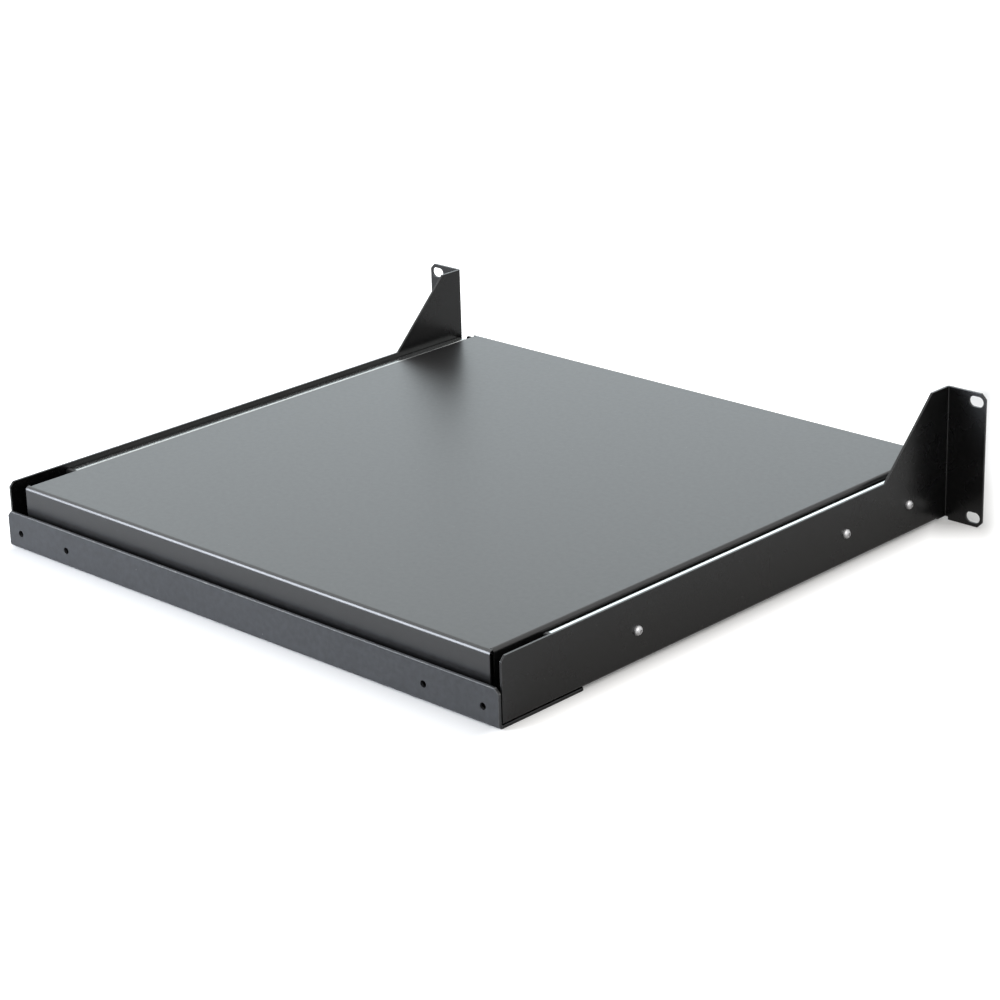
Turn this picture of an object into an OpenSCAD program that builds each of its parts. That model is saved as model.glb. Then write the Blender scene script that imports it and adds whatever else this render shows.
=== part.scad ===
// Sliding rack shelf, two rack units high, on a pair of full-extension ball-bearing slides.
// Millimetres, +Z up, front towards -Y. The origin is the centre of the four rack slots,
// in the plane where the backs of the ears bear on the rack's uprights.

/* [Rack ears] */
// Width of an ear outside its side plate
ear_w = 27.5; // [26:0.1:30]
// Distance from the middle of a slot to the ear's outer edge
slot_edge_x = 6.95; // [6:0.05:9]
// Height of an ear
ear_h = 88; // [85:0.5:92]
// Distance from the middle of a slot to the ear's upper or lower edge
slot_edge_z = 5.9; // [4:0.1:8]
// Height of a rack slot
slot_w = 6.8; // [6:0.1:7.5]
// End-to-end length of a rack slot
slot_len = 10.5; // [8.5:0.1:11.5]
// Chamfer on the outer corners of an ear
ear_chamfer = 3.5; // [1:0.5:4]

/* [Side brackets] */
// Width across the outer faces of the two side plates
frame_w = 424; // [410:1:430]
// Depth from the rack's uprights to the rear edge of a side plate
frame_depth = 405.6; // [390:0.1:500]
// Height of a side plate behind its gusset
side_h = 40; // [39:0.5:48]
// Thickness of the side bracket's sheet
bracket_t = 1.5; // [1:0.1:2]
// Inside radius of the bracket's bends
bracket_bend_r = 0.6; // [0.4:0.1:1.2]
// Length of the level top of the gusset behind the ear
gusset_top = 17.2; // [10:0.1:30]
// Distance behind the uprights where the gusset's slope meets the low edge
gusset_foot = 64.3; // [45:0.1:100]
// Chamfer on the upper rear corner of a side plate
side_chamfer = 3; // [1:0.5:8]
// Width of the inward flange along the foot of a side plate
foot_flange_w = 22; // [16:1:30]
// Distance behind the uprights where the foot flange starts
foot_flange_start = 8; // [5:1:30]
// Width of the relief that frees the ear's bend from its foot
ear_relief_w = 2; // [1:0.5:4]

/* [Rear crossbar] */
// Thickness of the crossbar's sheet
bar_t = 2; // [1.5:0.1:3]
// Height of the crossbar's upright face
bar_h = 24; // [18:1:30]
// Depth of the crossbar's bottom flange
bar_flange_w = 68; // [50:0.1:90]
// Inside radius of the crossbar's bend
bar_bend_r = 0.8; // [0.5:0.1:1.5]
// Gap between the side plates' rear edges and the crossbar
bar_gap = 0.9; // [0.5:0.1:2]
// Chamfer on the upper corners of the crossbar
bar_chamfer = 3; // [1:0.5:6]
// Radius of the front corners of the bottom flange
bar_corner_r = 1.5; // [1:0.5:10]
// Diameter of the clearance holes in the upright face
bar_hole_d = 4.3; // [3.2:0.1:5.5]
// Height of those holes above the underside
bar_hole_z = 10.9; // [8:0.1:14]
// Distance from each end of the crossbar to its outer hole
bar_hole_outer = 12; // [8:1:30]
// Distance from each end of the crossbar to its inner hole
bar_hole_inner = 57; // [35:1:100]

/* [Slides] */
// Height of a slide
slide_h = 35; // [34.5:0.1:36]
// Thickness of a slide, from its side plate to the tray
slide_thick = 10.6; // [10.6:0.1:13]
// Distance from the uprights to the front ends of the slides
slide_front = 4.2; // [3:0.1:12]
// Distance from the rear ends of the slides to the side plates' rear edges
slide_back = 46.4; // [10:0.1:60]
// How much shorter the tray's travel is than a slide
travel_lack = 5; // [5:1:60]
// Gap between the foot flange and the slide's underside
slide_lift = 0.3; // [0.3:0.1:1]
// Depth of the outer member over its lips
outer_depth = 8.7; // [8.6:0.1:9.2]
// Sheet thickness of the outer member
outer_t = 1.2; // [1:0.05:1.3]
// Sheet thickness of the middle member
middle_t = 1.2; // [1:0.05:1.3]
// Sheet thickness of the inner member
inner_t = 1.2; // [1:0.05:1.3]
// Inside radius of the members' bends
member_bend_r = 0.6; // [0.3:0.1:0.8]
// Diameter of a ball
ball_d = 3.2; // [3:0.05:3.3]
// Balls in each row
balls_per_row = 10; // [4:1:14]
// Depth of a ball's track in a flange
track_depth = 0.4; // [0.3:0.05:0.5]
// Running gap between a ball and its tracks
ball_gap = 0.1; // [0.08:0.01:0.15]
// Sheet thickness of a ball cage
cage_t = 0.5; // [0.4:0.05:0.6]
// Clearance between a cage and the members beside it
cage_gap = 0.3; // [0.25:0.05:0.4]
// Width of a cage's rim beside its pockets
cage_rim = 0.4; // [0.3:0.05:0.5]
// Length of the stop lugs at the members' ends
stop_len = 2; // [1.5:0.1:3]
// Diameter of the access holes in the middle member
access_d = 9; // [7:0.5:11]
// Thickness of a rear bumper behind the slide
bumper_t = 2.5; // [2:0.1:4]
// Depth of the bumper's plug inside the slide
bumper_plug = 4; // [3:0.1:6]
// Radius of the bumper's corners
bumper_corner_r = 1; // [1:0.1:2]

/* [Tray] */
// Thickness of the tray's sheet
tray_t = 1.2; // [1:0.1:2]
// Inside radius of the tray's bends
tray_bend_r = 1.3; // [0.6:0.1:2]
// Height of the tray over its flanges
tray_h = 36; // [33:0.5:37]
// Drop from the side plates' top edges to the tray's top
tray_drop = 1.3; // [0.5:0.1:2]
// How far the tray's front face stands in front of the ears
tray_proud = 2.9; // [1:0.1:10]
// Gap between the tray's rear face and the crossbar
tray_rear_gap = 4.5; // [2:0.1:8]
// Gap between the ends of the front flange and the side plates
wing_gap = 1.5; // [1:0.1:3]
// Radius of the upper corners of those ends
wing_corner_r = 2; // [1:0.5:4]
// Width of the relief beside the tray's front corners
wing_relief_w = 2.5; // [1:0.1:4]
// Depth of that relief
wing_relief_h = 2; // [1:0.1:4]
// Relief between the tray's side bends and its front and rear bends
tray_relief_w = 1; // [0.6:0.1:2]

/* [Rivets] */
// Shank diameter of the blind rivets
rivet_d = 3.2; // [2.4:0.1:4]
// Diameter of a blind rivet's domed head
rivet_head_d = 6.2; // [5:0.1:8]
// Height of that head
rivet_head_h = 1.1; // [0.8:0.1:1.6]
// Diameter of the formed head on the blind side
rivet_blind_d = 4.8; // [4.4:0.1:5.5]
// Height of the formed head
rivet_blind_h = 1.8; // [1.4:0.1:1.9]
// Diameter of the broken stem's recess in the head
stem_d = 1.9; // [1.2:0.1:2.2]
// Depth of that recess
stem_depth = 0.9; // [0.4:0.1:1]
// Distance from the slide's front end to the first rivet
rivet_first = 35.6; // [30:0.1:45]
// Distance from the first to the second rivet
rivet_pitch_front = 64; // [32:1:96]
// Distance from the third rivet to the slide's rear end
rivet_last = 63.4; // [25:0.1:95]
// Shank diameter of the flush rivets that tie the crossbar to the brackets
tie_d = 4; // [3:0.1:5]
// Head diameter of the flush rivets
tie_head_d = 6.4; // [5.5:0.1:8]
// Depth of the flush rivets' countersinks
tie_sink = 0.9; // [0.5:0.1:1.2]
// Distance from the crossbar flange's front edge to the first flush rivet
tie_first = 14; // [10:1:20]
// Distance between the two flush rivets on a side
tie_pitch = 34; // [20:1:38]
// Clearance around every rivet's shank
rivet_gap = 0.05; // [0.03:0.01:0.1]

/* [Hidden] */
$fn = 48;

// Overrun of every cut past the face that it opens
over = 0.5;

// Heights, counted from the underside of the ears and the crossbar
foot_z = bar_t;
low_top_z = foot_z + side_h;
slide_z = foot_z + bracket_t + slide_lift + slide_h / 2;
tray_top_z = low_top_z - tray_drop;
tray_foot_z = tray_top_z - tray_h;
slot_places_z = [slot_edge_z, ear_h - slot_edge_z];

// Places and lengths along the depth
slide_len = frame_depth - slide_front - slide_back;
travel = slide_len - travel_lack;
bar_front_y = frame_depth + bar_gap;
bar_rear_y = bar_front_y + bar_t;
bar_flange_front_y = bar_rear_y - bar_flange_w;
tray_front_y = -bracket_t - tray_proud;
tray_rear_y = bar_front_y - tray_rear_gap;
rivet_places = [rivet_first, rivet_first + rivet_pitch_front, slide_len - rivet_last];
tie_places = [bar_flange_front_y + tie_first, bar_flange_front_y + tie_first + tie_pitch];

// Places across the width
plate_x = frame_w / 2;
ear_x = plate_x + ear_w;
slot_x = ear_x - slot_edge_x;
slide_x = plate_x - bracket_t;
tray_x = slide_x - slide_thick;
tray_edge_r = tray_bend_r + tray_t;
wing_x = slide_x - wing_gap;
tie_x = plate_x - foot_flange_w / 2;

// Slide section: rows of balls and members, counted from the slide's centre line
ball_r = ball_d / 2;
track_r = ball_r + ball_gap;
outer_face = slide_h / 2 - outer_t;
outer_row_v = outer_face + track_depth - track_r;
middle_face = outer_row_v - track_r + track_depth;
inner_row_v = middle_face - middle_t + track_depth - track_r;
inner_face = inner_row_v - track_r + track_depth;
lip_len = slide_h / 2 - outer_row_v - cage_t / 2 - cage_gap;
lip_bend_r = min(member_bend_r, lip_len - outer_t - ball_gap);

// Slide section: webs and rows, counted from the side plate towards the tray
outer_cage_u = outer_t + rivet_blind_h + cage_gap;
middle_u = outer_cage_u + cage_t + cage_gap;
inner_cage_u = middle_u + middle_t + cage_gap;
inner_lip_u = inner_cage_u + cage_t + cage_gap;
outer_row_u = outer_depth - outer_t - ball_r + 2 * cage_gap;
inner_row_u = inner_lip_u + track_r + ball_gap;
middle_end_u = inner_row_u + track_r + cage_gap;

// Lengths along the slide
member_len = slide_len - bumper_plug - 2 * ball_gap - cage_gap;
cage_len = member_len - travel / 2 - 2 * (stop_len + cage_gap);
cage_start = (member_len - cage_len) / 2;
ball_step = cage_len / balls_per_row;
ball_places = [for (i = [0 : balls_per_row - 1]) cage_start + (i + 1 / 2) * ball_step];

// Colours of the finishes
coat_black = [0.11, 0.11, 0.11];
coat_grey = [0.16, 0.16, 0.17];
zinc = [0.86, 0.88, 0.87];
cage_steel = [0.72, 0.74, 0.74];
ball_steel = [0.8, 0.8, 0.82];
rivet_silver = [0.78, 0.78, 0.79];
bumper_black = [0.06, 0.06, 0.06];

// Raises a piece drawn from the underside into the part's own frame
module seated() translate([0, 0, -ear_h / 2]) children();

// The right-hand side is at +X, as seen from the front, and the left-hand side mirrors it
module right_hand() seated() children();
module left_hand() seated() mirror([1, 0, 0]) children();

// Extrudes an X-Z section along the depth, from y0 to y1
module along_y(y0, y1) translate([0, y1, 0]) rotate([90, 0, 0]) linear_extrude(y1 - y0) children();

// Extrudes a Y-Z section across the width, from x0 to x1
module along_x(x0, x1) translate([x0, 0, 0]) rotate([90, 0, 90]) linear_extrude(x1 - x0) children();

// Bent angle section, its outer corner at the origin and its legs along +X and +Y
module angle_section(leg_x, leg_y, t, r) {
    outer_r = r + t;
    translate([outer_r, 0]) square([leg_x - outer_r, t]);
    translate([0, outer_r]) square([t, leg_y - outer_r]);
    translate([outer_r, outer_r]) intersection() {
        difference() {
            circle(outer_r);
            circle(r);
        }
        translate([-outer_r, -outer_r]) square(outer_r);
    }
}

// Channel section, its web along Y at x = 0 and its flanges towards +X
module channel_section(depth, height, t, r) {
    for (side = [0, 1])
        mirror([0, side]) translate([0, -height / 2]) angle_section(depth, height / 2, t, r);
}

// Rectangle that runs along X from the origin, centred on the X axis, its corners rounded
module round_strip(w, h, r) {
    translate([0, r - h / 2]) square([w, h - 2 * r]);
    translate([r, -h / 2]) square([w - 2 * r, h]);
    for (x = [r, w - r], side = [-1, 1]) translate([x, side * (h / 2 - r)]) circle(r);
}

// Rectangle with its lower left corner at the origin and its two upper corners rounded
module round_top(w, h, r) {
    square([w, h - r]);
    translate([r, 0]) square([w - 2 * r, h]);
    for (x = [r, w - r]) translate([x, h - r]) circle(r);
}

// Triangle that chamfers a corner at the origin, its legs along -X and -Y
module corner_cut(c) polygon([[over, over], [-c - over, over], [over, -c - over]]);

// Rack slot cutter, centred on the origin and running along X
module slot_cutter() {
    reach = (slot_len - slot_w) / 2;
    for (x = [-reach, reach]) translate([x, over, 0]) rotate([90, 0, 0])
        cylinder(d = slot_w, h = bracket_t + 2 * over);
    translate([-reach, -bracket_t - over, -slot_w / 2])
        cube([2 * reach, bracket_t + 2 * over, slot_w]);
}

// Round cutter across the width, through all between two places
module cross_hole(d, x0, x1) translate([x0, 0, 0]) rotate([0, 90, 0]) cylinder(d = d, h = x1 - x0);

// Blind rivet: its dome on +Z, its shank down through the grip, its formed head below
module blind_rivet(grip) {
    dome_r = (pow(rivet_head_d / 2, 2) + pow(rivet_head_h, 2)) / (2 * rivet_head_h);
    neck_z = -grip - (rivet_blind_d - rivet_d) / 2;
    rotate_extrude() {
        difference() {
            intersection() {
                translate([0, rivet_head_h - dome_r]) circle(dome_r);
                square([rivet_head_d / 2, rivet_head_h]);
            }
            translate([0, rivet_head_h - stem_depth]) square([stem_d / 2, stem_depth + over]);
        }
        polygon([
            [0, 0], [rivet_d / 2, 0], [rivet_d / 2, -grip], [rivet_blind_d / 2, -grip],
            [rivet_blind_d / 2, neck_z], [rivet_d / 2, -grip - rivet_blind_h],
            [0, -grip - rivet_blind_h]
        ]);
    }
}

// Flush rivet through the crossbar's flange and the bracket's foot flange, or its hole
module flush_rivet(gap, reach) {
    grip = bar_t + bracket_t;
    rotate_extrude() polygon([
        [0, -reach], [tie_head_d / 2 + gap, -reach], [tie_head_d / 2 + gap, 0],
        [tie_d / 2 + gap, tie_sink], [tie_d / 2 + gap, grip - tie_sink],
        [tie_head_d / 2 + gap, grip], [tie_head_d / 2 + gap, grip + reach], [0, grip + reach]
    ]);
}

// The flush rivets' places on the right-hand side
module at_ties() for (y = tie_places) translate([tie_x, y, 0]) children();

// The blind rivets' places on the right-hand side, on the slide's centre line
module at_rivets() for (s = rivet_places) translate([0, slide_front + s, slide_z]) children();

// Side view of a bracket: plate, gusset and chamfer
module bracket_outline() {
    difference() {
        polygon([
            [-bracket_t - over, -over], [frame_depth, -over], [frame_depth, low_top_z],
            [gusset_foot, low_top_z], [gusset_top, ear_h], [-bracket_t - over, ear_h]
        ]);
        translate([frame_depth, low_top_z]) corner_cut(side_chamfer);
    }
}

// Side bracket: a rack ear, a gusseted side plate and a foot flange, bent from one sheet
module side_bracket() {
    difference() {
        intersection() {
            union() {
                linear_extrude(ear_h) translate([slide_x, -bracket_t])
                    angle_section(ear_x - slide_x, foot_flange_start + bracket_t, bracket_t, bracket_bend_r);
                along_y(foot_flange_start, frame_depth) translate([plate_x, foot_z]) mirror([1, 0])
                    angle_section(foot_flange_w, ear_h - foot_z, bracket_t, bracket_bend_r);
            }
            along_x(plate_x - foot_flange_w - over, ear_x + over) bracket_outline();
        }
        translate([slide_x - over, -bracket_t - over, -over])
            cube([bracket_t + ear_relief_w + over, foot_flange_start + bracket_t + 2 * over, foot_z + over]);
        for (z = slot_places_z) translate([slot_x, 0, z]) slot_cutter();
        for (side = [0, 1]) translate([0, 0, ear_h / 2]) mirror([0, 0, side]) translate([0, 0, ear_h / 2])
            along_y(-bracket_t - over, over) translate([ear_x, 0]) corner_cut(ear_chamfer);
        at_rivets() cross_hole(rivet_d + 2 * rivet_gap, slide_x - over, plate_x + over);
        at_ties() flush_rivet(rivet_gap, over);
    }
}

// Rear crossbar: an upright face with four clearance holes, and a deep bottom flange
module crossbar() {
    hole_places = [for (inset = [bar_hole_outer, bar_hole_inner], side = [-1, 1]) side * (plate_x - inset)];
    difference() {
        along_x(-plate_x, plate_x) translate([bar_rear_y, 0]) mirror([1, 0])
            angle_section(bar_flange_w, bar_h, bar_t, bar_bend_r);
        for (side = [0, 1]) mirror([side, 0, 0]) {
            along_y(bar_front_y - over, bar_rear_y + over) translate([plate_x, bar_h])
                corner_cut(bar_chamfer);
            translate([plate_x, bar_flange_front_y, -over]) flange_corner_cutter();
            at_ties() flush_rivet(rivet_gap, over);
        }
        for (x = hole_places) translate([x, bar_front_y - over, bar_hole_z]) rotate([-90, 0, 0])
            cylinder(d = bar_hole_d, h = bar_t + 2 * over);
    }
}

// Cutter that rounds the front corner of the crossbar's bottom flange, at the origin
module flange_corner_cutter() {
    linear_extrude(bar_t + 2 * over) difference() {
        translate([-bar_corner_r, -over]) square([bar_corner_r + over, bar_corner_r + over]);
        translate([-bar_corner_r, bar_corner_r]) circle(bar_corner_r);
    }
}

// Places a slide section on the right-hand side: X counts from the side plate towards the tray
module slide_run(s0, s1) {
    translate([slide_x, 0, slide_z]) mirror([1, 0, 0])
        along_y(slide_front + s0, slide_front + s1) children();
}

// Both rows of one pair, as seen in the section, above and below the centre line
module both_rows(u, v) for (side = [-1, 1]) translate([u, side * v]) children();

// Tracks that the balls roll in, one pair of rows
module tracks(u, v) both_rows(u, v) circle(track_r);

// Stop lug on one pair of flanges: from height v0 to v1 at the ball row
module stop_lug(u, v0, v1) {
    for (side = [0, 1]) mirror([0, side]) translate([u - ball_r / 2, v0]) square([ball_r, v1 - v0]);
}

// Outer member: a channel with lips curled round the balls, and lugs at its front end
module outer_member() {
    difference() {
        union() {
            slide_run(0, slide_len) difference() {
                union() {
                    channel_section(outer_depth / 2, slide_h, outer_t, member_bend_r);
                    for (side = [0, 1]) mirror([0, side]) translate([outer_depth, -slide_h / 2])
                        mirror([1, 0]) angle_section(outer_depth / 2 + outer_t, lip_len, outer_t, lip_bend_r);
                }
                tracks(outer_row_u, outer_row_v);
            }
            slide_run(0, stop_len) stop_lug(outer_row_u, outer_row_v - cage_t / 2, slide_h / 2 - outer_t / 2);
        }
        at_rivets() cross_hole(rivet_d + 2 * rivet_gap, slide_x - outer_t - over, slide_x + over);
    }
}

// Middle member: a channel between the two rows of balls, its web pierced for the rivet tool
module middle_member() {
    lug_v0 = middle_face - middle_t / 2;
    difference() {
        union() {
            slide_run(0, member_len) difference() {
                translate([middle_u, 0])
                    channel_section(middle_end_u - middle_u, 2 * middle_face, middle_t, member_bend_r);
                tracks(outer_row_u, outer_row_v);
                tracks(inner_row_u, inner_row_v);
            }
            slide_run(member_len - stop_len, member_len)
                stop_lug(outer_row_u, lug_v0, outer_row_v + cage_t / 2);
            slide_run(0, stop_len) stop_lug(inner_row_u, inner_row_v - cage_t / 2, lug_v0);
        }
        at_rivets() cross_hole(access_d, slide_x - inner_cage_u, slide_x - middle_u + over);
    }
}

// Inner member: a channel facing back into the slide, riveted to the tray's flange
module inner_member() {
    difference() {
        union() {
            slide_run(0, member_len) difference() {
                translate([slide_thick, 0]) mirror([1, 0])
                    channel_section(slide_thick - inner_lip_u, 2 * inner_face, inner_t, member_bend_r);
                tracks(inner_row_u, inner_row_v);
            }
            slide_run(member_len - stop_len, member_len)
                stop_lug(inner_row_u, inner_face - inner_t / 2, inner_row_v + cage_t / 2);
        }
        at_rivets() cross_hole(rivet_d + 2 * rivet_gap, tray_x - over, tray_x + inner_t + over);
    }
}

// Ball cage: a thin channel between two members, with a pocket for every ball
module cage(web_u, row_u, row_v) {
    pocket_d = ball_d + 2 * ball_gap;
    difference() {
        slide_run(cage_start, cage_start + cage_len) translate([web_u, 0])
            channel_section(row_u + pocket_d / 2 + cage_rim - web_u, 2 * row_v + cage_t, cage_t, cage_t / 2);
        at_balls(row_u) translate([0, 0, -slide_h / 2]) cylinder(d = pocket_d, h = slide_h);
    }
}

// The two cages of a slide
module outer_cage() cage(outer_cage_u, outer_row_u, outer_row_v);
module inner_cage() cage(inner_cage_u, inner_row_u, inner_row_v);

// The balls' places along one row, on the slide's centre line
module at_balls(row_u) {
    for (s = ball_places) translate([slide_x - row_u, slide_front + s, slide_z]) children();
}

// The upper and the lower row of balls of one cage
module balls(row_u, row_v) {
    at_balls(row_u) for (side = [-1, 1]) translate([0, 0, side * row_v]) sphere(ball_r);
}
module outer_balls() balls(outer_row_u, outer_row_v);
module inner_balls() balls(inner_row_u, inner_row_v);

// Rear bumper: a plate against the outer member's end, with a plug that the moving members meet
module rear_bumper() {
    plug_h = 2 * inner_face;
    slide_run(slide_len, slide_len + bumper_t) round_strip(outer_depth, slide_h, bumper_corner_r);
    slide_run(slide_len - bumper_plug, slide_len) translate([outer_t + cage_gap, -plug_h / 2])
        square([outer_depth - outer_t - cage_gap, plug_h]);
}

// Blind rivets through a side plate and the outer member's web, heads outside
module bracket_rivets() {
    at_rivets() translate([plate_x, 0, 0]) rotate([0, 90, 0]) blind_rivet(bracket_t + outer_t);
}

// Blind rivets through the tray's flange and the inner member's web, heads inside the tray
module tray_rivets() {
    at_rivets() translate([tray_x - tray_t, 0, 0]) rotate([0, -90, 0]) blind_rivet(tray_t + inner_t);
}

// Tray: top sheet with four flanges turned down, and a front flange that also covers the slides
module tray() {
    flat_w = 2 * (tray_x - tray_edge_r);
    flat_len = tray_rear_y - tray_front_y - 2 * tray_edge_r;
    flange_top_z = tray_top_z - tray_edge_r;
    side_start_y = tray_front_y + tray_edge_r + tray_relief_w;
    side_end_y = tray_rear_y - tray_edge_r - tray_relief_w;
    difference() {
        union() {
            translate([-flat_w / 2, tray_front_y + tray_edge_r, tray_top_z - tray_t])
                cube([flat_w, flat_len, tray_t]);
            along_y(side_start_y, side_end_y) for (side = [0, 1])
                mirror([side, 0]) translate([tray_x, tray_top_z]) mirror([1, 0]) mirror([0, 1])
                    angle_section(2 * tray_edge_r, tray_h, tray_t, tray_bend_r);
            along_x(-tray_x, tray_x) {
                translate([tray_rear_y, tray_top_z]) mirror([1, 0]) mirror([0, 1])
                    angle_section(tray_edge_r + tray_relief_w / 2, tray_h, tray_t, tray_bend_r);
                translate([tray_front_y, tray_top_z]) mirror([0, 1])
                    angle_section(tray_edge_r + tray_relief_w / 2, tray_h, tray_t, tray_bend_r);
            }
            along_y(tray_front_y, tray_front_y + tray_t) translate([-wing_x, tray_foot_z])
                round_top(2 * wing_x, flange_top_z - tray_foot_z, wing_corner_r);
        }
        for (side = [0, 1]) mirror([side, 0, 0])
            translate([tray_x, tray_front_y - over, flange_top_z - wing_relief_h])
                cube([wing_relief_w, tray_t + 2 * over, wing_relief_h + over]);
        for (side = [0, 1]) mirror([side, 0, 0]) at_rivets()
            cross_hole(rivet_d + 2 * rivet_gap, tray_x - tray_t - over, tray_x + over);
    }
}

module left_side_bracket() color(coat_black) left_hand() side_bracket();
module right_side_bracket() color(coat_black) right_hand() side_bracket();
module rear_crossbar() color(coat_grey) seated() crossbar();
module left_crossbar_rivets() color(coat_black) left_hand() at_ties() flush_rivet(0, 0);
module right_crossbar_rivets() color(coat_black) right_hand() at_ties() flush_rivet(0, 0);
module left_outer_member() color(zinc) left_hand() outer_member();
module right_outer_member() color(zinc) right_hand() outer_member();
module left_bracket_rivets() color(rivet_silver) left_hand() bracket_rivets();
module right_bracket_rivets() color(rivet_silver) right_hand() bracket_rivets();
module left_rear_bumper() color(bumper_black) left_hand() rear_bumper();
module right_rear_bumper() color(bumper_black) right_hand() rear_bumper();
module left_outer_cage() color(cage_steel) left_hand() outer_cage();
module right_outer_cage() color(cage_steel) right_hand() outer_cage();
module left_outer_balls() color(ball_steel) left_hand() outer_balls();
module right_outer_balls() color(ball_steel) right_hand() outer_balls();
module left_middle_member() color(zinc) left_hand() middle_member();
module right_middle_member() color(zinc) right_hand() middle_member();
module left_inner_cage() color(cage_steel) left_hand() inner_cage();
module right_inner_cage() color(cage_steel) right_hand() inner_cage();
module left_inner_balls() color(ball_steel) left_hand() inner_balls();
module right_inner_balls() color(ball_steel) right_hand() inner_balls();
module left_inner_member() color(zinc) left_hand() inner_member();
module right_inner_member() color(zinc) right_hand() inner_member();
module left_tray_rivets() color(rivet_silver) left_hand() tray_rivets();
module right_tray_rivets() color(rivet_silver) right_hand() tray_rivets();
module tray_pan() color(coat_black) seated() tray();

left_side_bracket();
right_side_bracket();
rear_crossbar();
left_crossbar_rivets();
right_crossbar_rivets();
left_outer_member();
right_outer_member();
left_bracket_rivets();
right_bracket_rivets();
left_rear_bumper();
right_rear_bumper();
left_outer_cage();
right_outer_cage();
left_outer_balls();
right_outer_balls();
left_middle_member();
right_middle_member();
left_inner_cage();
right_inner_cage();
left_inner_balls();
right_inner_balls();
left_inner_member();
right_inner_member();
left_tray_rivets();
right_tray_rivets();
tray_pan();
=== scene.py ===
"""Sliding rack shelf on ball-bearing slides: the visible model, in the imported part's frame."""
import logging
import math
from collections.abc import Callable
from dataclasses import dataclass
from enum import Enum

import bmesh
import bpy
from mathutils import Matrix, Vector


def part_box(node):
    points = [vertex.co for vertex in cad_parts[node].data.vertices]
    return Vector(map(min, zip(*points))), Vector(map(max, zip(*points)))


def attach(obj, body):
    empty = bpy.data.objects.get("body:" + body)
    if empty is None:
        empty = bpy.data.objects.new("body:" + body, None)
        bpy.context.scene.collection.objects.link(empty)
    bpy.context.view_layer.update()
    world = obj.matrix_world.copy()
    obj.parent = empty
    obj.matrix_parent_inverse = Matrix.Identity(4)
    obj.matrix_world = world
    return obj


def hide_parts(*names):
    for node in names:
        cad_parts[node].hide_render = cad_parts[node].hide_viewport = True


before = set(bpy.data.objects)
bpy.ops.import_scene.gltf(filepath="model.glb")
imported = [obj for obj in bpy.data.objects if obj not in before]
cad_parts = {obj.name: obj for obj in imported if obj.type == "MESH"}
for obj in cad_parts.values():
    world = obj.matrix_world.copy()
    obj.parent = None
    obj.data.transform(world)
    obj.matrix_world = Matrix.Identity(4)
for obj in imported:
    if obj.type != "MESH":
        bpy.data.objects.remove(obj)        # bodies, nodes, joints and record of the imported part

MM = 0.001
EAR_H = 88.0         # height of an ear in millimetres; heights are counted from its foot
NEAR = 0.02 * MM     # how close a point has to lie to a place to count as on it
MERGE = NEAR / 10    # how close two corners have to lie to become one
SIDES = (-1, 1)      # the left-hand and the right-hand side, as the sign of x
ROUND = 48           # edges of a round hole's rim
THROUGH = 4          # how far a cutter reaches, in thicknesses of the sheet
RIGHT_ANGLE = math.pi / 2
HARD_TURN = math.radians(40)      # an edge that turns more than this is eased
SMOOTH_TURN = math.radians(24)    # an edge that turns less than this is shaded smoothly
ACROSS, BACK, UP = Vector((1, 0, 0)), Vector((0, 1, 0)), Vector((0, 0, 1))
WHITE = (1.0, 1.0, 1.0, 1.0)
FIRST_COLOUR, SECOND_COLOUR, MIXED_COLOUR = 6, 7, 2    # a Mix node's colour sockets
LOG = logging.getLogger("rack_shelf")

Test = Callable[[Vector], bool]
Pair = tuple[float, float]             # the ends of a range, or a ring's radius and height
Triple = tuple[float, float, float]    # a colour, or a place or size along the axes
Socket = bpy.types.NodeSocket
Material = bpy.types.Material


def shift(x: float, y: float, z: float) -> Vector:
    """An offset in metres, from millimetres along each axis."""
    return Vector((x, y, z)) * MM


def at(x: float, y: float, z: float) -> Vector:
    """A place in metres.

    Args:
        x: millimetres to the right of the middle, as seen from the front.
        y: millimetres behind the plane of the rack's uprights.
        z: millimetres above the underside.

    Returns:
        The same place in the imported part's frame.
    """
    return shift(x, y, z - EAR_H / 2)


class Side(Enum):
    """The two sides of the shelf, as seen from the front of the rack."""

    LEFT = -1
    RIGHT = 1

    @property
    def word(self) -> str:
        """The side's name as the nodes write it."""
        return self.name.lower()


class Facing(Enum):
    """The world axis that a new sheet or disc faces, as the turn that gets it there."""

    X = (0.0, RIGHT_ANGLE, 0.0)
    Y = (-RIGHT_ANGLE, 0.0, 0.0)
    Z = (0.0, 0.0, 0.0)

    @property
    def axis(self) -> Vector:
        """The unit vector that the sheet faces along."""
        return Vector([float(self.name == letter) for letter in "XYZ"])


class Kind(Enum):
    """What a pick selects."""

    VERT = "verts"
    EDGE = "edges"
    FACE = "faces"


def clear_bench() -> None:
    """Leaves edit mode and deselects everything."""
    if bpy.context.object is not None and bpy.context.object.mode != "OBJECT":
        bpy.ops.object.mode_set(mode="OBJECT")
    bpy.ops.object.select_all(action="DESELECT")


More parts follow.
